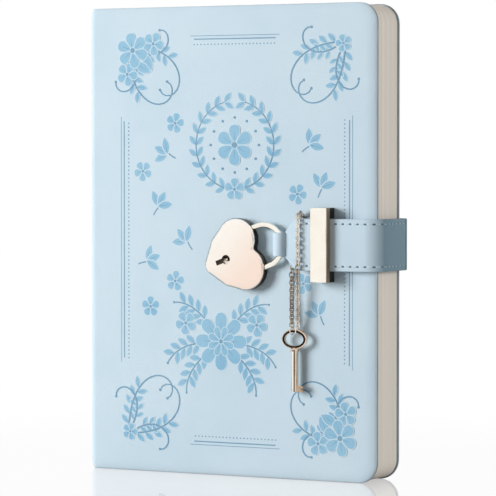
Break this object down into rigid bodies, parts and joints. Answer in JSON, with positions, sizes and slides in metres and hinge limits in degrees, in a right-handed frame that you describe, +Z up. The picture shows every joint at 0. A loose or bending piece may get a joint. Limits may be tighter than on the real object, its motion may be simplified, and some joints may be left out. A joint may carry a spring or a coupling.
{
  "type": "lockable diary",
  "caption": "Hardback diary in pale blue artificial leather with a sewn strap round the fore-edge, a clasp bar, a heart-shaped padlock and its key on a chain.",
  "frame": {"origin": "middle of the whole object's base, at the bottom edges of the covers", "axes": "+Z up along the standing book, front cover towards -Y, spine towards -X"},
  "size_m": [0.1518, 0.0354, 0.213],
  "materials": {
    "cover_leather": "soft matt grain",
    "strap_leather": "soft matt grain, sewn edges",
    "board": "grey board",
    "endpaper": "uncoated",
    "page_paper": "uncoated cream",
    "pale_gold": "polished pale gold plating",
    "antique_gold": "antique gold plating",
    "key_brass": "polished warm brass",
    "steel": "plain steel"
  },
  "bodies": {
    "back_cover": {"back_cover_skin": "cover_leather", "back_board": "board", "back_pastedown": "endpaper", "strap_anchor_face": "strap_leather", "strap_anchor_lining": "strap_leather"},
    "spine_block": {"spine_skin": "cover_leather", "spine_board": "board", "spine_lining": "endpaper", "text_block": "page_paper"},
    "flyleaf": {"front_flyleaf": "endpaper"},
    "first_section": {"first_signature": "page_paper"},
    "second_section": {"second_signature": "page_paper"},
    "front_cover": {"front_cover_skin": "cover_leather", "front_board": "board", "front_pastedown": "endpaper", "clasp_bar": "pale_gold", "bar_screws": "steel", "strap_front_face": "strap_leather", "strap_front_lining": "strap_leather", "chain_collar": "antique_gold"},
    "strap_flap": {"strap_side_face": "strap_leather", "strap_side_lining": "strap_leather"},
    "shackle": {"shackle": "pale_gold"},
    "lock_case": {"lock_case": "pale_gold", "lock_back_plate": "pale_gold", "key_post": "key_brass", "heel_pin": "steel", "latch_leaf": "steel", "shackle_spring": "steel"},
    "chain_drop": {"chain_front_strand": "antique_gold", "chain_back_strand": "antique_gold", "key_rings": "antique_gold"},
    "key": {"key": "key_brass"}
  },
  "joints": [
    {"name": "back_open", "type": "hinge", "parent": "back_cover", "child": "spine_block", "pos_m": [-0.0709, 0.0159, 0.1065], "axis": [0, 0, -1], "range_deg": [0, 100]},
    {"name": "cover_open", "type": "hinge", "parent": "spine_block", "child": "front_cover", "pos_m": [-0.0709, -0.0091, 0.1065], "axis": [0, 0, -1], "range_deg": [0, 175]},
    {"name": "flyleaf_turn", "type": "hinge", "parent": "spine_block", "child": "flyleaf", "pos_m": [-0.0682, -0.00655, 0.1065], "axis": [0, 0, -1], "range_deg": [0, 105]},
    {"name": "first_section_turn", "type": "hinge", "parent": "spine_block", "child": "first_section", "pos_m": [-0.06775, -0.00625, 0.1065], "axis": [0, 0, -1], "range_deg": [0, 70]},
    {"name": "second_section_turn", "type": "hinge", "parent": "spine_block", "child": "second_section", "pos_m": [-0.06592, -0.00385, 0.1065], "axis": [0, 0, -1], "range_deg": [0, 35]},
    {"name": "strap_fold", "type": "hinge", "parent": "front_cover", "child": "strap_flap", "pos_m": [0.075, -0.0126, 0.1056], "axis": [0, 0, -1], "range_deg": [0, 90]},
    {"name": "lock_swing", "type": "hinge", "parent": "front_cover", "child": "shackle", "pos_m": [0.0264, -0.0126, 0.1056], "axis": [0, 0, 1], "range_deg": [0, 100]},
    {"name": "shackle_release", "type": "slide", "parent": "shackle", "child": "lock_case", "axis": [-0.9397, 0, -0.342], "range_m": [0, 0.005], "deforming": ["shackle_spring", "latch_leaf"]},
    {"name": "chain_swing", "type": "hinge", "parent": "front_cover", "child": "chain_drop", "pos_m": [0.0336, -0.01265, 0.0927], "axis": [-0.7682, 0.6402, 0], "range_deg": [-1.5, 50]},
    {"name": "key_swing", "type": "hinge", "parent": "chain_drop", "child": "key", "pos_m": [0.0336, -0.01265, 0.0634], "axis": [0, 1, 0], "range_deg": [-15, 15]}
  ],
  "couplings": [
    {"joint": "flyleaf_turn", "follows": "cover_open", "ratio": 0.6},
    {"joint": "first_section_turn", "follows": "cover_open", "ratio": 0.4},
    {"joint": "second_section_turn", "follows": "cover_open", "ratio": 0.2}
  ]
}
